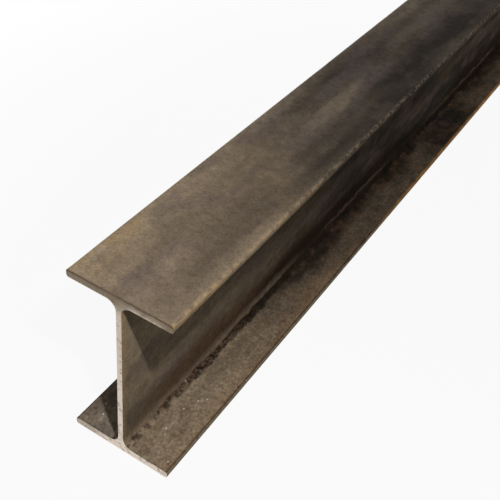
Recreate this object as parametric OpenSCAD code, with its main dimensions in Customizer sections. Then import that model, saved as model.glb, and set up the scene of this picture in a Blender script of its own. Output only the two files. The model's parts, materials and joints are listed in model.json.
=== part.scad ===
// Length of rolled steel I-beam, lying as it is stored: upright on its lower flange.
// The origin is the middle of the underside, with the length along Y and +Z up.

/* [Section] */
// Depth of the section, over both flanges
depth = 137.4; // [100:0.1:400]
// Width of each flange
flange_w = 73; // [60:0.5:200]
// Thickness of each flange
flange_t = 5.6; // [4:0.1:20]
// Thickness of the web
web_t = 3.8; // [3:0.1:12]

/* [Rolled edges] */
// Radius of the fillet at the root, where web and flange meet
root_r = 7; // [3:0.5:20]
// Radius of the corners along the flange toes
toe_r = 1.5; // [0.5:0.1:1.9]

/* [Stock] */
// Length that the piece is sawn to
length = 1000; // [200:50:12000]

/* [Hidden] */
$fn = 48;

mill_scale_colour = "#4a4138";

// How far a fillet or corner piece runs past the edge that it is joined to or cut from
overlap = web_t / 4;
half_web = web_t / 2;
half_flange = flange_w / 2;

// Makes a shape four times, in the four quarters of the section about its centre
module in_each_quarter() {
    for (side = [0, 1]) {
        for (end = [0, 1]) {
            mirror([side, 0]) mirror([0, end]) children();
        }
    }
}

// What is taken off a square corner at [0, 0], the shape being below and left of it, to round it
module corner_cut(radius) {
    difference() {
        translate([-radius, -radius]) square(radius + overlap);
        translate([-radius, -radius]) circle(radius);
    }
}

// What is added in an inside corner at [0, 0], the space being above and right of it, to fillet it
module corner_fill(radius) {
    difference() {
        translate([-overlap, -overlap]) square(radius + overlap);
        translate([radius, radius]) circle(radius);
    }
}

// The upper flange in the section, with its toes rounded
module flange_outline() {
    difference() {
        translate([-half_flange, depth / 2 - flange_t]) square([flange_w, flange_t]);
        for (side = [0, 1]) {
            mirror([side, 0]) {
                translate([half_flange, depth / 2]) corner_cut(toe_r);
                translate([half_flange, depth / 2 - flange_t]) mirror([0, 1]) corner_cut(toe_r);
            }
        }
    }
}

// The whole section, about its own centre
module section_outline() {
    square([web_t, depth - flange_t], center = true);
    for (end = [0, 1]) {
        mirror([0, end]) flange_outline();
    }
    in_each_quarter() {
        translate([half_web, depth / 2 - flange_t]) mirror([0, 1]) corner_fill(root_r);
    }
}

module i_beam() {
    color(mill_scale_colour)
        translate([0, length / 2, depth / 2])
            rotate([90, 0, 0])
                linear_extrude(height = length)
                    section_outline();
}

i_beam();
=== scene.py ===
"""Rolled steel I-beam: a weathered mill-scale surface with sawn ends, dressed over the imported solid."""

import json
import math

import bmesh
import bpy
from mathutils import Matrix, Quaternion, Vector, noise


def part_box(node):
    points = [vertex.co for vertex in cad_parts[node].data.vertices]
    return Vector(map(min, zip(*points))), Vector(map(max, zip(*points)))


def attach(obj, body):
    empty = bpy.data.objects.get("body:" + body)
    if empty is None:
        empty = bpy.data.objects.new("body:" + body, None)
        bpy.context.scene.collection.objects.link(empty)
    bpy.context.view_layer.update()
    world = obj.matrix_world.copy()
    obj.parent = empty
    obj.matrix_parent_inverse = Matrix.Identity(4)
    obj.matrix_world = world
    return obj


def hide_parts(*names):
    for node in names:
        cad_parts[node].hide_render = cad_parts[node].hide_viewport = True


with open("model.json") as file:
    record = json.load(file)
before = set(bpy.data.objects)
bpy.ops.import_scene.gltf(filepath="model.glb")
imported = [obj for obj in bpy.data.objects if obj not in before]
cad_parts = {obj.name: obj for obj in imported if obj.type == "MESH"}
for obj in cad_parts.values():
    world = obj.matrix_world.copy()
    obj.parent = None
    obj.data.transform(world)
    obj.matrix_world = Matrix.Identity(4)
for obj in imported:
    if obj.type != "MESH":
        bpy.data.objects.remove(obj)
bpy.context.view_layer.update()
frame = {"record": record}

bl_info = {
    "name": "Rolled Steel I-Beam",
    "version": (1, 0, 0),
    "blender": (4, 5, 0),
    "location": "View3D > Sidebar > I-Beam",
    "description": "Builds a length of rolled steel I-beam with mill scale, light rust and sawn ends",
    "category": "Object",
}

MM = 0.001
NODE = "i_beam"
BODY = "root"

# The solid's own sizes, read from the frame
LOW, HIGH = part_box(NODE)
MOUNTS = {mount["name"]: Vector(mount["pos_m"]) for mount in frame["record"]["mounts"]}
FLANGE_FACE = MOUNTS["lower_flange_clamp_right"].z
WEB_FACE = MOUNTS["web_right"].x
LENGTH = HIGH.y - LOW.y
FRONT = LOW.y
BACK = HIGH.y

# Points nearer to a face than this lie on it
CLOSE = 0.01 * MM

# Segments of the arc in each root and round each toe
ROOT_SEGMENTS = 10
TOE_SEGMENTS = 3

# The beam's two materials, by their slots
SCALE_FACES, SAWN_FACES = 0, 1

# Which sockets of a colour mix hold its factor, its two colours and its result
FACTOR, UNDER, OVER, MIXED = 0, 6, 7, 2

WHITE = (1.0, 1.0, 1.0, 1.0)


def linear(hex_colour):
    """An sRGB hex colour as linear red, green, blue and alpha."""
    channels = [int(hex_colour[k:k + 2], 16) / 255 for k in (1, 3, 5)]
    return tuple(c / 12.92 if c <= 0.04045 else ((c + 0.055) / 1.055) ** 2.4 for c in channels) + (1.0,)


def colour_setting(name, description, hex_colour):
    """A colour that a user may change, from its sRGB hex value."""
    return bpy.props.FloatVectorProperty(
        name=name,
        description=description,
        subtype="COLOR",
        size=4,
        min=0.0,
        max=1.0,
        default=linear(hex_colour),
    )


def length_setting(name, description, metres):
    """A length that a user may change, in metres."""
    return bpy.props.FloatProperty(
        name=name,
        description=description,
        subtype="DISTANCE",
        unit="LENGTH",
        precision=5,
        min=0.0,
        default=metres,
    )


class IBeamSection(bpy.types.PropertyGroup):
    """Sizes of the rolled section and of the cells that its surface is divided into."""

    flange_w: length_setting("Flange width", "Width over the flange toes", HIGH.x - LOW.x)
    depth: length_setting("Depth", "Depth over both flanges", HIGH.z - LOW.z)
    flange_t: length_setting("Flange thickness", "Thickness of each flange", FLANGE_FACE)
    web_t: length_setting("Web thickness", "Thickness of the web", 2 * WEB_FACE)
    root_r: length_setting("Root radius", "Fillet between web and flange", 7.0 * MM)
    toe_r: length_setting("Toe radius", "Rounding along the flange toes", 1.5 * MM)
    arris: length_setting("Sawn arris", "Width of the broken edge round a sawn end", 0.3 * MM)
    flat_cell: length_setting("Flat cell", "Spacing of points across web and outer faces", 2.75 * MM)
    inner_cell: length_setting("Inner cell", "Spacing of points across the inner flange faces", 1.9 * MM)
    end_cell: length_setting("End cell", "Spacing of points along the beam at its ends", 1.6 * MM)
    middle_cell: length_setting("Middle cell", "Spacing of points along the beam at its middle", 3.8 * MM)


class IBeamRelief(bpy.types.PropertyGroup):
    """Heights of the surface relief that rolling, scale and handling leave."""

    waviness: length_setting("Waviness", "Slow waves that the rolls leave", 0.06 * MM)
    flake_step: length_setting("Flake step", "Depth of the patches where scale has come off", 0.16 * MM)
    pit: length_setting("Pits", "Depth of the rust pits on the lower flange and low on the web", 0.22 * MM)
    toe_nick: length_setting("Toe nicks", "Depth of the knocks along the flange toes", 0.08 * MM)
    crust: length_setting("Root crust", "Height of the scale and dirt in the lower roots", 1.1 * MM)


class IBeamFinish(bpy.types.PropertyGroup):
    """Colours of the mill scale, the rust, the sawn steel and the floor."""

    weathered: colour_setting("Weathered scale", "Grey-brown scale that has stood outdoors", "#716353")
    pale: colour_setting("Pale bloom", "Dry, dusty bloom on the scale", "#96856E")
    dark_scale: colour_setting("Whole scale", "Brown-black scale that is still whole", "#3B352F")
    plum: colour_setting("Plum scale", "Purple-brown scale", "#6A5C57")
    rust: colour_setting("Rust", "Red-brown rust", "#5F4735")
    toe_rust: colour_setting("Toe rust", "Dusty rust beside the lower toes", "#8C6848")
    orange: colour_setting("Fresh rust", "Orange rust along the lower toes", "#C08A50")
    ochre: colour_setting("Ochre wear", "Golden rust along worn edges", "#A08662")
    crust: colour_setting("Root crust", "Dark cake of scale and dirt", "#28211A")
    crumb: colour_setting("Crumbs", "Brown crumbs on the crust", "#7D6856")
    speck: colour_setting("Specks", "Pale grains of grit", "#EFE6D8")
    sawn: colour_setting("Sawn steel", "Bare steel that the saw left", "#E6D8CA")
    sawn_dull: colour_setting("Dulled sawn steel", "Sawn steel that has begun to tarnish", "#7A6B55")
    floor: colour_setting("Floor", "Pale studio floor", "#BFBFBD")


def add_node(tree, kind, inputs=None, **settings):
    """Adds a shader node with its settings; an input is a value or another node's output socket."""
    node = tree.nodes.new(kind)
    for name, value in settings.items():
        setattr(node, name, value)
    for name, value in (inputs or {}).items():
        if isinstance(value, bpy.types.NodeSocket):
            tree.links.new(value, node.inputs[name])
        else:
            node.inputs[name].default_value = value
    return node


def new_material(name):
    """A material with an empty node tree, and its output node."""
    material = bpy.data.materials.new(name)
    material.use_nodes = True
    tree = material.node_tree
    tree.nodes.clear()
    return material, tree, add_node(tree, "ShaderNodeOutputMaterial")


def sharp_outline(section):
    """The section's twelve corners before rounding, from the lower right toe round to the lower left."""
    half_w = section.flange_w / 2
    half_web = section.web_t / 2
    low = section.flange_t
    high = section.depth - section.flange_t
    lower_right = [(half_w, 0), (half_w, low), (half_web, low)]
    upper_right = [(half_web, high), (half_w, high), (half_w, section.depth)]
    right = lower_right + upper_right
    return right + [(-x, z) for x, z in reversed(right)]


def roll_section(bm, section):
    """The section as one face at the front end, with filleted roots, rounded toes and divided edges."""
    corners = [bm.verts.new((x, FRONT, z)) for x, z in sharp_outline(section)]
    bm.faces.new(corners)
    half_web = section.web_t / 2
    roots = [v for v in corners if abs(v.co.x) < half_web + section.toe_r]
    toes = [v for v in corners if v not in roots]
    for points, radius, segments in (
        (roots, section.root_r, ROOT_SEGMENTS),
        (toes, section.toe_r, TOE_SEGMENTS),
    ):
        bmesh.ops.bevel(
            bm,
            geom=points,
            offset=radius,
            offset_type="OFFSET",
            affect="VERTICES",
            segments=segments,
            profile=0.5,
            material=-1,
        )
    for edge in list(bm.edges):
        middle = (edge.verts[0].co + edge.verts[1].co) / 2
        outer = middle.z < section.toe_r or middle.z > section.depth - section.toe_r
        on_web = abs(middle.x) < half_web + CLOSE
        cell = section.flat_cell if outer or on_web else section.inner_cell
        cuts = round(edge.calc_length() / cell) - 1
        if cuts > 0:
            bmesh.ops.subdivide_edges(bm, edges=[edge], cuts=cuts)
    return bm.faces[:][0]


def draw_out(bm, face, section):
    """Draws the section out to the beam's length, with points that close up towards both ends."""
    drawn = bmesh.ops.extrude_face_region(bm, geom=[face], use_keep_orig=True)["geom"]
    moved = [item for item in drawn if isinstance(item, bmesh.types.BMVert)]
    bmesh.ops.translate(bm, verts=moved, vec=(0, LENGTH, 0))
    rails = [e for e in bm.edges if abs(e.verts[0].co.y - e.verts[1].co.y) > LENGTH / 2]
    both_cells = section.end_cell + section.middle_cell
    cuts = round(2 * LENGTH / both_cells) - 1
    bmesh.ops.subdivide_edges(bm, edges=rails, cuts=cuts, use_grid_fill=True)
    closing = (section.middle_cell - section.end_cell) / both_cells
    for vert in bm.verts:
        t = (vert.co.y - FRONT) / LENGTH
        vert.co.y = FRONT + LENGTH * (t - closing * math.sin(math.tau * t) / math.tau)
    bmesh.ops.recalc_face_normals(bm, faces=bm.faces[:])


def saw_ends(bm, section):
    """Breaks the edge round each sawn end and gives the ends their own material."""
    for end, inward in ((FRONT, 1), (BACK, -1)):
        cap = [f for f in bm.faces if abs(f.calc_center_median().y - end) < CLOSE]
        rim = list(cap[0].verts)
        inset = bmesh.ops.inset_region(bm, faces=cap, thickness=section.arris, use_even_offset=True)
        bmesh.ops.translate(bm, verts=rim, vec=(0, inward * section.arris, 0))
        filled = bmesh.ops.triangulate(bm, faces=cap, quad_method="BEAUTY", ngon_method="BEAUTY")
        for f in inset["faces"] + filled["faces"]:
            f.material_index = SAWN_FACES


# Relief fades out over these lengths, so that the sawn ends stay flat and the toes keep their line
END_FADE = 2.0 * MM
TOE_FADE = 3.0 * MM

# Rust pits keep their depth as far from the lower flange as the first of these shares of the section's
# depth, and fade out by the second
PITS_FULL_TO, PITS_NONE_FROM = 0.15, 0.3

# The crust in a lower root, in root radii: how far it lies out on the flange and up the web, and how far
# beyond that it stays full and is gone
CRUST_OUT, CRUST_UP = 0.65, 0.2
CRUST_FULL_TO, CRUST_NONE_FROM = 0.1, 0.6

# Cells of the rolling waves, across, along and up, in mm
WAVE_CELL = (50, 140, 50)

# The other relief: the cells of its noise across, along and up in mm, the fineness, step and number of the
# noise's octaves, and the levels at which it begins and is full
RELIEF_NOISE = {
    "flake": ((16, 30, 16), (0.8, 2.1, 3), 0.05, 0.3),
    "pit": ((4.5, 4.5, 4.5), (1.0, 2.0, 1), 0.2, 0.55),
    "knock": ((50, 20, 10), (1.0, 2.0, 1), 0.2, 0.6),
    "crust": ((40, 30, 40), (1.0, 2.0, 1), -0.6, 0.1),
    "crumb": ((4, 5, 4), (0.7, 2.2, 2), -0.3, 0.5),
}


def smooth_step(low, high, value):
    """0 below low, 1 above high, and a smooth rise between them."""
    t = min(1.0, max(0.0, (value - low) / (high - low)))
    return t * t * (3 - 2 * t)


def in_cells(place, cell):
    """A place counted in cells whose sizes are in mm."""
    return Vector([metres / (size * MM) for metres, size in zip(place, cell)])


def relief_share(name, place):
    """How far one kind of relief has set in at a place, from 0 to 1."""
    cell, octaves, none_at, full_at = RELIEF_NOISE[name]
    return smooth_step(none_at, full_at, noise.fractal(in_cells(place, cell), *octaves))


def root_share(section, x, z):
    """How far a point of the surface lies in one of the two lower roots, from 0 to 1."""
    out = abs(x) - section.web_t / 2
    up = z - section.flange_t
    if out < -CLOSE or up < -CLOSE:
        return 0.0
    radii_out = max(out / section.root_r - CRUST_OUT, 0)
    radii_up = max(up / section.root_r - CRUST_UP, 0)
    return 1 - smooth_step(CRUST_FULL_TO, CRUST_NONE_FROM, math.hypot(radii_out, radii_up))


def weather(bm, section, relief):
    """Moves the surface's points by the relief, and keeps how much scale each one has lost."""
    lost_layer = bm.verts.layers.float.new("scale_lost")
    bm.normal_update()
    normals = {v: v.normal.copy() for v in bm.verts}
    for vert, normal in normals.items():
        x, y, z = place = vert.co.copy()
        off_end = smooth_step(0.0, END_FADE, min(y - FRONT, BACK - y))
        off_toe = smooth_step(0.0, TOE_FADE, section.flange_w / 2 - abs(x))
        in_root = root_share(section, x, z)
        depths_up = abs(z - section.flange_t) / section.depth
        pitted = 1 - smooth_step(PITS_FULL_TO, PITS_NONE_FROM, depths_up)
        wave = 0.5 + 0.5 * noise.noise(in_cells(place, WAVE_CELL))
        lost = relief_share("flake", place)
        sunk = relief.flake_step * lost + relief.pit * pitted * relief_share("pit", place)
        crust = relief.crust * relief_share("crust", place) * relief_share("crumb", place)
        height = in_root * crust - relief.waviness * wave
        height -= relief.toe_nick * relief_share("knock", place) * (1 - off_toe)
        height -= off_toe * (1 - in_root) * sunk
        vert.co += normal * height * off_end
        vert[lost_layer] = lost


# Patterns in the mill scale: width and length of their cells in mm, their fineness, and where each one
# starts, so that its clouds lie well; flecks and grain are drawn coarser than dust, so that they show
SCALE_PATTERNS = (
    ("drift", 70, 320, 1.0, (4.8, 50.3, 19.4)),
    ("streak", 16, 150, 1.0, (8.6, 53.0, 59.2)),
    ("cloud", 30, 90, 2.0, (36.6, 42.3, 13.0)),
    ("tint", 20, 60, 2.0, (0, 50.7, 40.8)),
    ("lump", 9, 14, 1.0, (0, 0, 0)),
    ("mottle", 5, 5, 3.0, (0, 0, 0)),
    ("fleck", 2.0, 2.6, 2.0, (0, 0, 0)),
    ("grain", 1.2, 1.2, 1.0, (0, 0, 0)),
)

# Dirt in the lower roots: how fast it spreads over the flange on the right and on the left, where it begins
# on the right, how far it reaches, how it thins up the web, how fast it draws back towards the beam's
# middle, and where it is back in the root. On the left it widens from the ends the way the web's shadow
# does at the front, so there it is painted shadow as well as dirt
DIRT_SPREAD = 0.12
DIRT_AND_SHADE_SPREAD_LEFT = 0.25
DIRT_FROM = 100 * MM
DIRT_REACH = 13 * MM
DIRT_UP_WEB = 0.48
DIRT_RETREAT = 0.2
DIRT_TO = 475 * MM

# How far clouds and mottling push a ragged edge to and fro, and how many times as far along the beam
CLOUD_PUSH = 22 * MM
MOTTLE_PUSH = 4 * MM
LENGTHWISE = 3.0

# How far mottling pushes the worn line along an upper corner, and how far mottling and lumps push the lines
# in a lower root
CORNER_MOTTLE = 3 * MM
ROOT_MOTTLE = 2 * MM
ROOT_LUMPS = 6 * MM

# States of the surface by distance: what measures each one, where it begins and where it is full in mm, and
# how strong it gets
STATES_BY_DISTANCE = (
    # Away from the ends the scale is darker, partly as whole scale and partly as painted shade, where the
    # light falls off
    ("whole", "from_end", 90, 360, 1.0),
    ("inside_whole_and_shade", "from_end", 60, 260, 1.0),
    ("handled", "from_end", 220, 60, 1.0),
    ("sawn_edge", "from_end", 6, 1, 0.5),
    ("off_end", "ragged_end", 0, 60, 1.0),
    ("near_end", "from_end", 110, 50, 1.0),
    ("crumbly", "from_end", 180, 70, 0.8),
    ("short_of_dirt", "from_end", 320, 200, 1.0),
    ("caked", "ragged_end", 45, 95, 0.8),
    ("far", "from_end", 290, 370, 1.0),
    ("deep", "from_end", 425, 475, 1.0),
    ("inner", "inside", -0.5, 0.5, 1.0),
    ("above", "from_top", 1.2, 0.4, 1.0),
    ("below", "up_web", 32, 14, 1.0),
    ("low", "up_web", 6, 1, 1.0),
    ("right", "side", 2, 20, 1.0),
    ("left", "side", -14, -34, 1.0),
    ("off_right", "side", 20, 2, 1.0),
    ("web", "from_web", 6, 2, 1.0),
    ("band", "ragged_up", 34, 16, 0.75),
    # On the left, near the ends, this root darkening is painted shadow of the web as well as dirt
    ("dirt", "past_dirt_and_shade", 8, -5, 0.85),
    ("line_foot", "round_root", -1.5, 0.5, 1.0),
    ("line_head", "round_root", 3.2, 1.8, 1.0),
    ("fillet_foot", "round_root", -7, -2.5, 0.65),
    ("fillet_head", "round_root", 3.2, 1.0, 1.0),
    ("bare", "ragged_end", 225, 180, 1.0),
    ("strip_foot", "round_root", 2.0, 4.0, 1.0),
    ("strip_head", "round_root", 10.8, 7.8, 1.0),
    ("edge", "ragged_toe", 14, 2, 0.28),
    ("arris_in", "from_toe", 0.1, 0.45, 1.0),
    ("arris_out", "from_toe", 2.0, 1.0, 0.6),
    ("lip", "from_toe", 2.2, 0.8, 0.65),
    ("side_face", "from_toe", 0.8, 0.3, 1.0),
    ("worn", "from_corner", 4.9, 2.3, 0.7),
)

# The same by a pattern's level, from 0 to 1
STATES_BY_PATTERN = (
    ("plum", "tint", 0.5, 0.66, 0.5),
    ("golden", "tint", 0.5, 0.36, 0.6),
    ("patchy", "mottle", 0.42, 0.58, 1.0),
    ("spots", "fleck", 0.38, 0.66, 0.9),
    ("gaps", "mottle", 0.57, 0.46, 0.65),
    ("brown", "lump", 0.48, 0.64, 0.35),
    ("crumbs", "fleck", 0.5, 0.62, 0.55),
    ("broken", "cloud", 0.42, 0.62, 0.3),
)

# States that need several of these at once
STATES_TOGETHER = (
    ("plum_scale", "plum", "off_right"),
    ("top_whole_and_shade", "above", "whole"),
    ("top_right_shade", "top_whole_and_shade", "right"),
    ("left_pale", "above", "left"),
    ("web_inner", "inner", "web"),
    ("web_whole_and_shade", "web_inner", "inside_whole_and_shade"),
    ("web_end", "web_inner", "handled"),
    ("low_inner", "inner", "low"),
    ("low_whole_and_shade", "low_inner", "inside_whole_and_shade"),
    ("low_deep", "low_inner", "deep"),
    ("low_end", "low_inner", "handled"),
    ("low_near", "low_inner", "near_end"),
    ("left_low_dust_and_shade", "low_end", "left_side"),
    ("dark_side", "side_face", "whole"),
    ("tan_side", "side_face", "golden", "handled"),
    ("tan_corner", "left_pale", "golden", "handled"),
    ("tan_line", "worn", "handled", "patchy"),
    ("worn_line", "worn", "spots"),
    ("tan_end", "web_end", "sawn_edge"),
    ("rust_band", "web_inner", "band", "off_end", "short_of_dirt"),
    ("root_dirt_and_shade", "dirt", "inner", "below"),
    # Painted highlight: a pale line along the lower fillets stands in for the rim of light along them
    ("fillet_highlight", "line_foot", "line_head", "inner", "broken"),
    ("bare_fillet", "fillet_foot", "fillet_head", "inner", "bare"),
    ("root_strip", "strip_foot", "strip_head", "inner"),
    ("lumps", "root_strip", "gaps"),
    ("dark_cake", "root_strip", "caked"),
    ("crumb", "root_strip", "crumbs", "crumbly"),
    ("rust_toe", "edge", "low", "short_of_dirt"),
    ("brown_low", "low_inner", "brown"),
    # Painted light: the lower toe faces are paled as if lit by light bounced up from the floor
    ("painted_toe_bounce", "side_face", "low"),
    ("toe_line", "arris_in", "arris_out", "low_inner"),
    ("orange_lip", "lip", "low", "far"),
)

# The scale's tone, from dark and whole at 0 to pale and dusty at 1: where it starts, and how much each
# pattern and state lightens or darkens it. Its fall away from the ends is partly the scale's own and partly
# painted shade, where the light falls off
TONE_START = -0.24
TONE_WEIGHTS = (
    ("drift", 1.0),
    ("streak", 0.58),
    ("cloud", 0.4),
    ("scale_lost", 0.1),
    ("above", -0.07),
    # Painted shade in part: the upper face darkens away from the ends, partly as whole scale
    ("top_whole_and_shade", -0.39),
    # Painted shade: the right side of the upper face is darker away from the ends, where less light falls
    # on it
    ("top_right_shade", -0.32),
    ("left_pale", 0.19),
    # The web is darker all over, partly as its own scale and partly as painted shade under the upper flange
    ("web_inner", -0.5),
    # Painted shade in part: the web darkens further away from the ends, in the deep shade under the upper
    # flange
    ("web_whole_and_shade", -0.21),
    ("web_end", 0.34),
    # Painted shade in part: the lower flange darkens away from the ends, partly as whole scale
    ("low_whole_and_shade", -0.3),
    ("low_deep", -0.5),
    ("low_end", 0.15),
    ("low_near", 0.07),
    # Painted shade in part: the lower left flange near the ends is darker, for dust and for the web's
    # shadow on it
    ("left_low_dust_and_shade", -0.32),
    # Painted shade in part: the toe faces darken away from the ends, as the upper face does
    ("dark_side", -0.85),
)

# Stains and painted shadows: their middle, with its length measured from the front end, and their reach,
# both across, along and up in mm, and how much they change the tone; the painted shadows are marked
STAINS_AND_SHADOWS = (
    ((-2, 250, 137), (9, 60, 8), 0.32),
    ((-33, 215, 137), (8, 55, 8), 0.24),
    ((-8, 395, 137), (7, 60, 8), 0.16),
    ((18, 435, 137), (16, 55, 8), -0.2),
    ((12, 345, 137), (10, 35, 8), 0.1),
    ((16, 75, 137), (20, 80, 8), -0.28),
    # Painted shadow: the upper flange's shadow on the web, near the front end
    ((2, 85, 56), (6, 75, 10), -0.16),
    ((15, 90, 6), (9, 45, 6), -0.3),
    # Painted shadow: the web's shadow on the lower left flange at the front end
    ((-25, 40, 6), (17, 27, 6), -0.8),
)

# The share of its reach within which a patch is full
PATCH_CORE = 0.3

# The noise that makes the patches ragged: its cells and how far it moves a point, across, along and up in
# mm
WARP_CELL = (12, 40, 12)
WARP_REACH = (16, 70, 8)

# Finishes laid over the scale's own colour, in order, and the state that each one shows; some are painted
# light and shade, as marked
SCALE_LAYERS = (
    ("plum", "plum_scale"),
    ("ochre", "tan_corner"),
    ("ochre", "tan_side"),
    ("ochre", "tan_end"),
    ("rust", "rust_band"),
    # Crust colour in the lower roots: dirt, and on the left near the ends also painted shadow of the web
    ("crust", "root_dirt_and_shade"),
    ("ochre", "tan_line"),
    ("pale", "worn_line"),
    ("rust", "brown_low"),
    ("toe_rust", "rust_toe"),
    # Painted light: pale on the lower toe faces, as if lit by light bounced up from the floor
    ("pale", "painted_toe_bounce"),
    ("crust", "toe_line"),
    ("orange", "orange_lip"),
    ("weathered", "bare_fillet"),
    # Painted highlight: a pale line along the lower fillets, drawn in the crumb colour
    ("crumb", "fillet_highlight"),
    ("crust", "lumps"),
    ("crust", "dark_cake"),
    ("crumb", "crumb"),
)

# Whole scale on the upper face is greyer than the rest, and so is the lower left flange near the ends,
# partly as dust and partly as painted neutral shade
SATURATION_WEIGHTS = (
    ("top_whole_and_shade", -0.16),
    ("left_low_dust_and_shade", -0.25),
)

# Patterns that lighten and darken the colour, how strongly, and where
EVERYWHERE = 1.0
SCALE_SHADES = (
    ("grain", 0.8, EVERYWHERE),
    ("mottle", 0.75, EVERYWHERE),
    ("fleck", 1.3, "low_inner"),
    ("lump", 1.2, "low_whole_and_shade"),
)

# Grit on the lower flange: the size of its cells, the share of them that hold a grain, a grain's radius to
# its edge and to where it is full, in cells, and how much of its colour shows
GRIT_CELL = 4 * MM
GRIT_SHARE = 0.02
GRAIN_EDGE, GRAIN_CORE = 0.18, 0.1
GRAIN_COVER = 0.8

# Roughness of whole scale and of dust on the outer faces, and how much rougher the inner faces are
WHOLE_ROUGHNESS, DUSTY_ROUGHNESS = 0.66, 0.86
INNER_ROUGHNESS = 0.2


def scale_patterns(tree, place):
    """The clouds, streaks and grain in the scale, by name, each from 0 to 1."""
    patterns = {}
    for name, width, length, detail, start in SCALE_PATTERNS:
        cell = Vector((width, length, width)) * MM
        at = add_node(
            tree,
            "ShaderNodeMapping",
            {"Vector": place, "Location": start, "Scale": [1 / size for size in cell]},
        )
        patterns[name] = add_node(
            tree,
            "ShaderNodeTexNoise",
            {"Vector": at.outputs[0], "Scale": 1.0, "Detail": detail, "Roughness": 0.55},
        ).outputs["Fac"]
    return patterns


def measure_beam(tree, place, values, section):
    """Adds distances from the beam's own features, in metres; ragged ones wander by some millimetres."""
    axes = add_node(tree, "ShaderNodeSeparateXYZ", {0: place})
    values.update(side=axes.outputs["X"], along=axes.outputs["Y"], height=axes.outputs["Z"])
    for name, operation, *terms in (
        ("across", "ABSOLUTE", "side"),
        ("from_toe", "SUBTRACT", section.flange_w / 2, "across"),
        ("from_web", "SUBTRACT", "across", section.web_t / 2),
        ("from_top", "SUBTRACT", section.depth, "height"),
        ("from_corner", "ADD", "from_toe", "from_top"),
        ("from_corner", "MULTIPLY_ADD", "mottle", CORNER_MOTTLE, "from_corner"),
        ("up_web", "SUBTRACT", "height", section.flange_t),
        ("inside", "SUBTRACT", "height", section.depth / 2),
        ("inside", "ABSOLUTE", "inside"),
        ("inside", "SUBTRACT", section.depth / 2 - section.flange_t / 2, "inside"),
        ("from_end", "ABSOLUTE", "along"),
        ("from_end", "SUBTRACT", LENGTH / 2, "from_end"),
        ("ragged", "MULTIPLY_ADD", "cloud", CLOUD_PUSH, -(CLOUD_PUSH + MOTTLE_PUSH) / 2),
        ("ragged", "MULTIPLY_ADD", "mottle", MOTTLE_PUSH, "ragged"),
        ("ragged_toe", "ADD", "from_toe", "ragged"),
        ("ragged_up", "ADD", "up_web", "ragged"),
        ("ragged_end", "MULTIPLY_ADD", "ragged", LENGTHWISE, "from_end"),
        ("left_side", "LESS_THAN", "side", 0.0),
        # On the left the dirt widens from the ends as painted shadow of the web
        ("left_dirt_and_shade_reach", "MULTIPLY", "from_end", DIRT_AND_SHADE_SPREAD_LEFT),
        ("left_dirt_and_shade_reach", "MULTIPLY", "left_dirt_and_shade_reach", "left_side"),
        ("dirt_and_shade_reach", "MULTIPLY_ADD", "from_end", DIRT_SPREAD, -DIRT_SPREAD * DIRT_FROM),
        ("dirt_and_shade_reach", "MAXIMUM", "dirt_and_shade_reach", "left_dirt_and_shade_reach"),
        ("dirt_and_shade_reach", "MINIMUM", "dirt_and_shade_reach", DIRT_REACH),
        ("dirt_end", "MULTIPLY_ADD", "from_end", -DIRT_RETREAT, DIRT_RETREAT * DIRT_TO),
        ("dirt_and_shade_reach", "MINIMUM", "dirt_and_shade_reach", "dirt_end"),
        ("past_dirt_and_shade", "MULTIPLY_ADD", "up_web", DIRT_UP_WEB, "from_web"),
        ("past_dirt_and_shade", "ADD", "past_dirt_and_shade", "ragged"),
        ("past_dirt_and_shade", "SUBTRACT", "past_dirt_and_shade", "dirt_and_shade_reach"),
        ("round_root", "SUBTRACT", "from_web", "up_web"),
        ("round_root", "MULTIPLY_ADD", "mottle", ROOT_MOTTLE, "round_root"),
        ("round_root", "MULTIPLY_ADD", "lump", ROOT_LUMPS, "round_root"),
    ):
        inputs = {k: values.get(term, term) for k, term in enumerate(terms)}
        values[name] = add_node(tree, "ShaderNodeMath", inputs, operation=operation).outputs[0]


def find_states(tree, values):
    """Adds how far each state of the surface has gone, from 0 to 1."""
    for unit, states in ((MM, STATES_BY_DISTANCE), (1.0, STATES_BY_PATTERN)):
        for name, measure, none_at, full_at, most in states:
            span = {"From Min": none_at * unit, "From Max": full_at * unit, "To Max": most}
            values[name] = add_node(
                tree,
                "ShaderNodeMapRange",
                {"Value": values[measure], **span},
                interpolation_type="SMOOTHSTEP",
            ).outputs[0]
    for name, first, *others in STATES_TOGETHER:
        state = values[first]
        for other in others:
            factors = {0: state, 1: values[other]}
            state = add_node(tree, "ShaderNodeMath", factors, operation="MULTIPLY").outputs[0]
        values[name] = state


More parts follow.
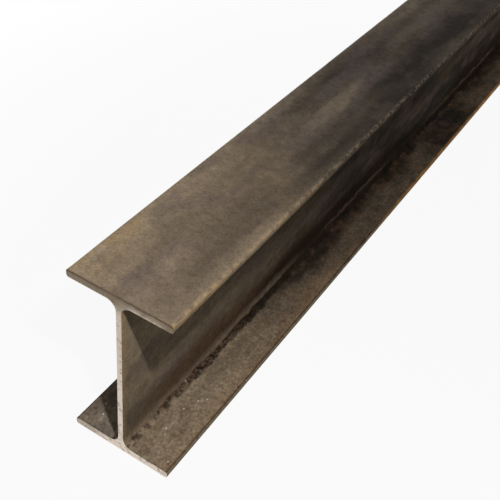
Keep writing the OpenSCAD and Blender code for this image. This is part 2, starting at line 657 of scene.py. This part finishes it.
def scale_tone(tree, place, values):
    """The scale's tone, by its patterns and states, with the stains and painted shadows laid into it."""
    tone = TONE_START
    for name, weight in TONE_WEIGHTS:
        terms = {0: values[name], 1: weight, 2: tone}
        tone = add_node(tree, "ShaderNodeMath", terms, operation="MULTIPLY_ADD").outputs[0]

    warp_at = add_node(
        tree,
        "ShaderNodeMapping",
        {"Vector": place, "Scale": [1 / (size * MM) for size in WARP_CELL]},
    ).outputs[0]
    warp = add_node(tree, "ShaderNodeTexNoise", {"Vector": warp_at, "Scale": 1.0, "Detail": 2.0})
    warp_reach = Vector(WARP_REACH) * MM
    warped = add_node(
        tree,
        "ShaderNodeVectorMath",
        {0: warp.outputs["Color"], 1: warp_reach, 2: place},
        operation="MULTIPLY_ADD",
    ).outputs[0]
    for middle, reach, weight in STAINS_AND_SHADOWS:
        # The noise moves points by half its reach on average, so the middle moves with them
        centre = Vector(middle) * MM + Vector((0, FRONT, 0)) + warp_reach / 2
        shrink = Vector([1 / (size * MM) for size in reach])
        spot_at = add_node(
            tree,
            "ShaderNodeMapping",
            {"Vector": warped, "Location": -centre * shrink, "Scale": shrink},
        ).outputs[0]
        away = add_node(tree, "ShaderNodeVectorMath", {0: spot_at}, operation="LENGTH").outputs["Value"]
        tone_patch = add_node(
            tree,
            "ShaderNodeMapRange",
            {"Value": away, "From Min": 1.0, "From Max": PATCH_CORE, "To Max": weight},
            interpolation_type="SMOOTHSTEP",
        ).outputs[0]
        tone = add_node(tree, "ShaderNodeMath", {0: tone, 1: tone_patch}, operation="ADD").outputs[0]
    return tone


def scale_colour(tree, values, tone, finish):
    """The scale's colour: its tone, then rust, wear, dirt and some painted light and shade over it, then
    the fine grain.
    """
    ramp = add_node(tree, "ShaderNodeValToRGB", {0: tone})
    ramp.color_ramp.elements[0].color = finish.dark_scale
    ramp.color_ramp.elements[1].color = finish.pale
    ramp.color_ramp.elements.new(0.5).color = finish.weathered
    colour = ramp.outputs["Color"]
    for layer, state in SCALE_LAYERS:
        colour = add_node(
            tree,
            "ShaderNodeMix",
            {FACTOR: values[state], UNDER: colour, OVER: getattr(finish, layer)},
            data_type="RGBA",
        ).outputs[MIXED]

    saturation = 1.0
    for name, weight in SATURATION_WEIGHTS:
        terms = {0: values[name], 1: weight, 2: saturation}
        saturation = add_node(tree, "ShaderNodeMath", terms, operation="MULTIPLY_ADD").outputs[0]
    colour = add_node(
        tree,
        "ShaderNodeHueSaturation",
        {"Color": colour, "Saturation": saturation},
    ).outputs["Color"]

    for name, depth, where in SCALE_SHADES:
        shade = add_node(tree, "ShaderNodeMath", {0: values[name], 1: 0.5}, operation="SUBTRACT").outputs[0]
        for factor in (depth, values.get(where, where)):
            shade = add_node(tree, "ShaderNodeMath", {0: shade, 1: factor}, operation="MULTIPLY").outputs[0]
        shade = add_node(tree, "ShaderNodeMath", {0: shade, 1: 1.0}, operation="ADD").outputs[0]
        colour = add_node(
            tree,
            "ShaderNodeHueSaturation",
            {"Color": colour, "Value": shade},
        ).outputs["Color"]
    return colour


def scatter_grit(tree, place, where, colour, speck):
    """Lays pale grains of grit, about 1 mm across, over a colour where a state says so."""
    cells = add_node(
        tree,
        "ShaderNodeTexVoronoi",
        {"Vector": place, "Scale": 1 / GRIT_CELL},
        voronoi_dimensions="2D",
    )
    lot = add_node(tree, "ShaderNodeSeparateXYZ", {0: cells.outputs["Color"]}).outputs["X"]
    drawn = {0: lot, 1: 1 - GRIT_SHARE}
    grit = add_node(tree, "ShaderNodeMath", drawn, operation="GREATER_THAN").outputs[0]
    span = {"From Min": GRAIN_EDGE, "From Max": GRAIN_CORE, "To Max": GRAIN_COVER}
    grain = add_node(
        tree,
        "ShaderNodeMapRange",
        {"Value": cells.outputs["Distance"], **span},
        interpolation_type="SMOOTHSTEP",
    ).outputs[0]
    for factor in (grain, where):
        grit = add_node(tree, "ShaderNodeMath", {0: grit, 1: factor}, operation="MULTIPLY").outputs[0]
    return add_node(
        tree,
        "ShaderNodeMix",
        {FACTOR: grit, UNDER: colour, OVER: speck},
        data_type="RGBA",
    ).outputs[MIXED]


def mill_scale_material(finish, section):
    """Hot-rolled mill scale, weathered outdoors: a thin oxide skin, matt and dusty.

    The rolls leave it in soft lengthwise clouds from brown-black to grey-tan. It wears to
    tan along the upper toes, browns low on the web and along the lower toes, and cakes dark
    in the lower roots. Away from the handled ends more of it is whole and dark, and there its
    colour also holds painted shade, where the light falls off. Painted in as well are the web's
    shadows on the lower left flange and under the upper flange, a darker right side of the
    upper face, a highlight along the lower fillets and light bounced onto the lower toe faces.
    """
    material, tree, output = new_material("weathered_mill_scale")
    place = add_node(tree, "ShaderNodeTexCoord").outputs["Object"]
    values = scale_patterns(tree, place)
    lost = add_node(tree, "ShaderNodeAttribute", attribute_name="scale_lost")
    values["scale_lost"] = lost.outputs["Fac"]
    measure_beam(tree, place, values, section)
    find_states(tree, values)
    tone = scale_tone(tree, place, values)
    colour = scale_colour(tree, values, tone, finish)
    colour = scatter_grit(tree, place, values["low_near"], colour, finish.speck)
    roughness = add_node(
        tree,
        "ShaderNodeMapRange",
        {"Value": tone, "To Min": WHOLE_ROUGHNESS, "To Max": DUSTY_ROUGHNESS},
    ).outputs[0]
    roughness = add_node(
        tree,
        "ShaderNodeMath",
        {0: values["inner"], 1: INNER_ROUGHNESS, 2: roughness},
        operation="MULTIPLY_ADD",
        use_clamp=True,
    ).outputs[0]
    skin = add_node(
        tree,
        "ShaderNodeMath",
        {0: values["grain"], 1: 0.5, 2: values["mottle"]},
        operation="MULTIPLY_ADD",
    ).outputs[0]
    skin = add_node(tree, "ShaderNodeMath", {0: values["crumb"], 1: skin}, operation="ADD").outputs[0]
    bump = add_node(
        tree,
        "ShaderNodeBump",
        {"Height": skin, "Strength": 0.7, "Distance": 0.3 * MM},
    ).outputs[0]
    # Dust takes nearly all of the scale's gloss, so its specular level is close to none
    shader = add_node(
        tree,
        "ShaderNodeBsdfPrincipled",
        {"Base Color": colour, "Roughness": roughness, "Normal": bump, "Specular IOR Level": 0.004},
    )
    tree.links.new(shader.outputs[0], output.inputs["Surface"])
    return material


# Finishes laid over the sawn steel, in order, the state that each one shows, and what holds it to its place
SAWN_LAYERS = (
    ("sawn_dull", "spots", None),
    ("sawn_dull", "patina", "on_flange"),
    ("sawn_dull", "lower_edge", "on_flange"),
    ("sawn_dull", "lower_left", "lower"),
    ("sawn_dull", "upper_web", None),
    ("sawn_dull", "junction", "middle"),
    ("sawn_dull", "flange", None),
    ("sawn_dull", "left", "upper"),
    ("sawn_dull", "corner", "upper"),
    # A dark band along the end's upper edge, drawn in the rust colour
    ("rust", "crown", None),
)

# Cells of the sawn end's mottling and clouds, and the length, spacing and lean of its saw scores, which are
# drawn wide enough to show
SAWN_MOTTLE = 3.5 * MM
SAWN_CLOUD = 14 * MM
SCORE_LENGTH = 25 * MM
SCORE_SPACING = 0.8 * MM
SCORE_LEAN = math.radians(12)

# How far mottling pushes the tarnish's edges up and down, and how many times as far sideways
TARNISH_PUSH = 3 * MM
SIDEWAYS = 3.0


def sawn_states(tree, place, section):
    """How far the sawn end is tarnished in each place, from 0 to 1, and its saw scores."""
    axes = add_node(tree, "ShaderNodeSeparateXYZ", {0: place})
    side, height = axes.outputs["X"], axes.outputs["Z"]
    mottle = add_node(
        tree,
        "ShaderNodeTexNoise",
        {"Vector": place, "Scale": 1 / SAWN_MOTTLE, "Detail": 3.0, "Roughness": 0.6},
    ).outputs["Fac"]
    cloud = add_node(
        tree,
        "ShaderNodeTexNoise",
        {"Vector": place, "Scale": 1 / SAWN_CLOUD, "Detail": 1.0},
    ).outputs["Fac"]
    score_size = (1 / SCORE_LENGTH, 1.0, 1 / SCORE_SPACING)
    score_at = add_node(
        tree,
        "ShaderNodeMapping",
        {"Vector": place, "Rotation": (0, SCORE_LEAN, 0), "Scale": score_size},
    ).outputs[0]
    states = {}
    states["score"] = add_node(
        tree,
        "ShaderNodeTexNoise",
        {"Vector": score_at, "Scale": 1.0, "Detail": 1.0},
    ).outputs["Fac"]
    ragged = add_node(
        tree,
        "ShaderNodeMath",
        {0: mottle, 1: TARNISH_PUSH, 2: -TARNISH_PUSH / 2},
        operation="MULTIPLY_ADD",
    ).outputs[0]
    ragged_height = add_node(tree, "ShaderNodeMath", {0: height, 1: ragged}, operation="ADD").outputs[0]
    ragged_side = add_node(
        tree,
        "ShaderNodeMath",
        {0: ragged, 1: SIDEWAYS, 2: side},
        operation="MULTIPLY_ADD",
    ).outputs[0]
    across = add_node(tree, "ShaderNodeMath", {0: side}, operation="ABSOLUTE").outputs[0]
    top = section.depth
    upper_root = section.depth - section.flange_t
    lower_root = section.flange_t
    for name, measure, none_at, full_at, most in (
        ("upper", ragged_height, upper_root - 1.5 * MM, upper_root, 1.0),
        ("flange", ragged_height, upper_root + 0.2 * MM, upper_root + 2.6 * MM, 0.66),
        ("left", ragged_side, 5 * MM, -5 * MM, 0.75),
        ("upper_web", ragged_height, 0.3 * top, 0.8 * top, 0.22),
        ("junction", ragged_height, upper_root - 12 * MM, upper_root - 1 * MM, 0.75),
        ("middle", across, 13 * MM, 4 * MM, 1.0),
        ("corner", ragged_side, 24 * MM, 34 * MM, 0.8),
        ("lower_edge", ragged_height, lower_root - 1.4 * MM, lower_root - 0.4 * MM, 0.5),
        ("lower", ragged_height, lower_root + 2 * MM, lower_root, 1.0),
        ("lower_left", ragged_side, -6 * MM, -30 * MM, 0.45),
        ("on_flange", across, 8 * MM, 14 * MM, 1.0),
        ("crown", ragged_height, top - 2.6 * MM, top - 1.2 * MM, 0.9),
        ("patina", cloud, 0.5, 0.68, 0.35),
        ("spots", mottle, 0.49, 0.71, 0.66),
    ):
        states[name] = add_node(
            tree,
            "ShaderNodeMapRange",
            {"Value": measure, "From Min": none_at, "From Max": full_at, "To Max": most},
            interpolation_type="SMOOTHSTEP",
        ).outputs[0]
    return states


def sawn_steel_material(finish, section):
    """Mild steel off the saw: bare, pale metal with fine scoring.

    It is tarnished olive on the upper flange, a little down the web, and in spots elsewhere.
    """
    material, tree, output = new_material("sawn_mild_steel")
    place = add_node(tree, "ShaderNodeTexCoord").outputs["Object"]
    states = sawn_states(tree, place, section)
    colour = finish.sawn
    for layer, name, held_to in SAWN_LAYERS:
        state = states[name]
        if held_to:
            factors = {0: state, 1: states[held_to]}
            state = add_node(tree, "ShaderNodeMath", factors, operation="MULTIPLY").outputs[0]
        colour = add_node(
            tree,
            "ShaderNodeMix",
            {FACTOR: state, UNDER: colour, OVER: getattr(finish, layer)},
            data_type="RGBA",
        ).outputs[MIXED]
    roughness = add_node(
        tree,
        "ShaderNodeMapRange",
        {"Value": states["score"], "From Min": 0.3, "From Max": 0.7, "To Min": 0.38, "To Max": 0.55},
    ).outputs[0]
    bump = add_node(
        tree,
        "ShaderNodeBump",
        {"Height": states["score"], "Strength": 0.15, "Distance": 0.08 * MM},
    ).outputs[0]
    shader = add_node(
        tree,
        "ShaderNodeBsdfPrincipled",
        {"Base Color": colour, "Metallic": 0.8, "Roughness": roughness, "Normal": bump},
    )
    tree.links.new(shader.outputs[0], output.inputs["Surface"])
    return material


# The floor: half its width in metres, how many times sooner it fades to white beside the beam than past its
# ends, where that begins and ends in beam lengths, and how white it is to the eye before that
FLOOR_REACH = 6.0
FLOOR_NARROWING = 2.5
FADE_FROM, FADE_TO = 0.6, 1.2
FLOOR_WHITE = 0.93

# Light from the surround, where white is 1
SURROUND_FILL = 0.12

# Lamps: where each one hangs, what it is turned to, its width in metres, and its watts
LAMPS = (
    ("key", (0.157, FRONT - 0.102, 0.434), (0.0, FRONT + 0.15, 0.1), 0.018, 1.3),
    ("rear", (-0.25, BACK + 0.18, 0.35), (0.0, BACK - 0.12, 0.07), 0.25, 1.3),
    ("left", (-0.6, 0.3, 0.24), (0.0, 0.2, 0.06), 0.5, 3.0),
    ("right", (0.5, BACK, 0.24), (0.0, BACK - 0.1, 0.07), 0.3, 1.3),
)

# The camera: its lens and sensor in mm, where it stands, what it is turned to, how far it is rolled, and
# how near it can see
CAMERA_LENS = 59.72
CAMERA_SENSOR = 36.0
CAMERA_PLACE = Vector((0.2031, FRONT - 0.2451, 0.4526))
CAMERA_AIM = Vector((0.0354, FRONT + 0.0760, HIGH.z))
CAMERA_ROLL = math.radians(7.04)
CAMERA_NEAR = 0.01


def seen_directly(tree):
    """1 for what the eye sees, straight, mirrored or through glass, and 0 for light cast on surfaces."""
    path = add_node(tree, "ShaderNodeLightPath")
    seen = path.outputs["Is Camera Ray"]
    for kind in ("Is Glossy Ray", "Is Transmission Ray"):
        rays = {0: seen, 1: path.outputs[kind]}
        seen = add_node(tree, "ShaderNodeMath", rays, operation="MAXIMUM").outputs[0]
    return seen


def floor_material(finish):
    """Matt pale board: white to the eye, darkened by the beam's shadow, fading into the white surround."""
    material, tree, output = new_material("matt_pale_board")
    place = add_node(tree, "ShaderNodeTexCoord").outputs["Object"]
    widened = add_node(
        tree,
        "ShaderNodeMapping",
        {"Vector": place, "Scale": (FLOOR_NARROWING, 1.0, 1.0)},
    ).outputs[0]
    away = add_node(tree, "ShaderNodeVectorMath", {0: widened}, operation="LENGTH").outputs["Value"]
    span = {"From Min": FADE_FROM * LENGTH, "From Max": FADE_TO * LENGTH}
    share = add_node(
        tree,
        "ShaderNodeMapRange",
        {"Value": away, **span, "To Min": FLOOR_WHITE, "To Max": 1.0},
    ).outputs[0]
    factors = {0: share, 1: seen_directly(tree)}
    share = add_node(tree, "ShaderNodeMath", factors, operation="MULTIPLY").outputs[0]
    board = add_node(tree, "ShaderNodeBsdfDiffuse", {"Color": finish.floor}).outputs[0]
    white = add_node(tree, "ShaderNodeEmission", {"Color": WHITE, "Strength": 1.0}).outputs[0]
    mixed = add_node(tree, "ShaderNodeMixShader", {0: share, 1: board, 2: white})
    tree.links.new(mixed.outputs[0], output.inputs["Surface"])
    return material


def lay_floor(scene):
    """A wide flat floor under the beam."""
    bm = bmesh.new()
    bmesh.ops.create_grid(bm, x_segments=1, y_segments=1, size=FLOOR_REACH)
    mesh = bpy.data.meshes.new("floor")
    bm.to_mesh(mesh)
    bm.free()
    mesh.materials.append(floor_material(scene.ibeam_finish))
    floor = bpy.data.objects.new("floor", mesh)
    scene.collection.objects.link(floor)


def light_surround(scene):
    """A soft even surround: white to the eye and in reflections, and a plain fill on the object."""
    world = bpy.data.worlds.new("studio_surround")
    world.use_nodes = True
    tree = world.node_tree
    tree.nodes.clear()
    output = add_node(tree, "ShaderNodeOutputWorld")
    level = add_node(
        tree,
        "ShaderNodeMapRange",
        {"Value": seen_directly(tree), "To Min": SURROUND_FILL, "To Max": 1.0},
    ).outputs[0]
    surround = add_node(tree, "ShaderNodeBackground", {"Color": WHITE, "Strength": level})
    tree.links.new(surround.outputs[0], output.inputs["Surface"])
    scene.world = world


def hang_lamp(scene, name, place, aim, width, watts):
    """A round soft lamp at a place, turned to what it lights."""
    lamp = bpy.data.lights.new(name, "AREA")
    lamp.shape = "DISK"
    lamp.size = width
    lamp.energy = watts
    holder = bpy.data.objects.new(name, lamp)
    holder.location = place
    holder.rotation_euler = (Vector(aim) - Vector(place)).to_track_quat("-Z", "Y").to_euler()
    scene.collection.objects.link(holder)


def place_camera(scene):
    """The camera, at an angle that shows one sawn end, the upper face and the right side."""
    data = bpy.data.cameras.new("view")
    data.lens = CAMERA_LENS
    data.sensor_width = CAMERA_SENSOR
    data.clip_start = CAMERA_NEAR
    camera = bpy.data.objects.new("view", data)
    camera.location = CAMERA_PLACE
    camera.rotation_mode = "QUATERNION"
    level = (CAMERA_AIM - CAMERA_PLACE).to_track_quat("-Z", "Y")
    camera.rotation_quaternion = level @ Quaternion((0, 0, 1), CAMERA_ROLL)
    scene.collection.objects.link(camera)
    scene.camera = camera


class IBEAM_OT_beam(bpy.types.Operator):
    """Rolls, saws and weathers the beam, and puts it in place of the plain solid"""

    bl_idname = "ibeam.beam"
    bl_label = "Build Beam"

    def execute(self, context):
        section = context.scene.ibeam_section
        finish = context.scene.ibeam_finish
        bm = bmesh.new()
        face = roll_section(bm, section)
        draw_out(bm, face, section)
        weather(bm, section, context.scene.ibeam_relief)
        saw_ends(bm, section)
        for f in bm.faces:
            f.smooth = f.material_index == SCALE_FACES
        mesh = bpy.data.meshes.new("rolled_beam")
        bm.to_mesh(mesh)
        bm.free()
        mesh.materials.append(mill_scale_material(finish, section))
        mesh.materials.append(sawn_steel_material(finish, section))
        beam = bpy.data.objects.new("rolled_beam", mesh)
        context.scene.collection.objects.link(beam)
        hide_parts(NODE)
        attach(beam, BODY)
        return {"FINISHED"}


class IBEAM_OT_stage(bpy.types.Operator):
    """Sets the floor, the surround, the lamps and the camera"""

    bl_idname = "ibeam.stage"
    bl_label = "Set Stage"

    def execute(self, context):
        scene = context.scene
        lay_floor(scene)
        light_surround(scene)
        for lamp in LAMPS:
            hang_lamp(scene, *lamp)
        place_camera(scene)
        scene.view_settings.view_transform = "Standard"
        return {"FINISHED"}


class IBEAM_PT_panel(bpy.types.Panel):
    """Lists the beam's build steps in the sidebar"""

    bl_label = "I-Beam"
    bl_idname = "IBEAM_PT_panel"
    bl_space_type = "VIEW_3D"
    bl_region_type = "UI"
    bl_category = "I-Beam"

    def draw(self, context):
        self.layout.operator(IBEAM_OT_beam.bl_idname)
        self.layout.operator(IBEAM_OT_stage.bl_idname)


CLASSES = (IBeamSection, IBeamRelief, IBeamFinish, IBEAM_OT_beam, IBEAM_OT_stage, IBEAM_PT_panel)


def register():
    """Adds the operators, the panel and the scene's settings."""
    for cls in CLASSES:
        bpy.utils.register_class(cls)
    bpy.types.Scene.ibeam_section = bpy.props.PointerProperty(type=IBeamSection)
    bpy.types.Scene.ibeam_relief = bpy.props.PointerProperty(type=IBeamRelief)
    bpy.types.Scene.ibeam_finish = bpy.props.PointerProperty(type=IBeamFinish)


def unregister():
    """Takes them away again."""
    del bpy.types.Scene.ibeam_finish
    del bpy.types.Scene.ibeam_relief
    del bpy.types.Scene.ibeam_section
    for cls in reversed(CLASSES):
        bpy.utils.unregister_class(cls)


def main():
    """Builds the beam and its stage."""
    register()
    bpy.ops.ibeam.beam()
    bpy.ops.ibeam.stage()


if __name__ == "__main__":
    main()
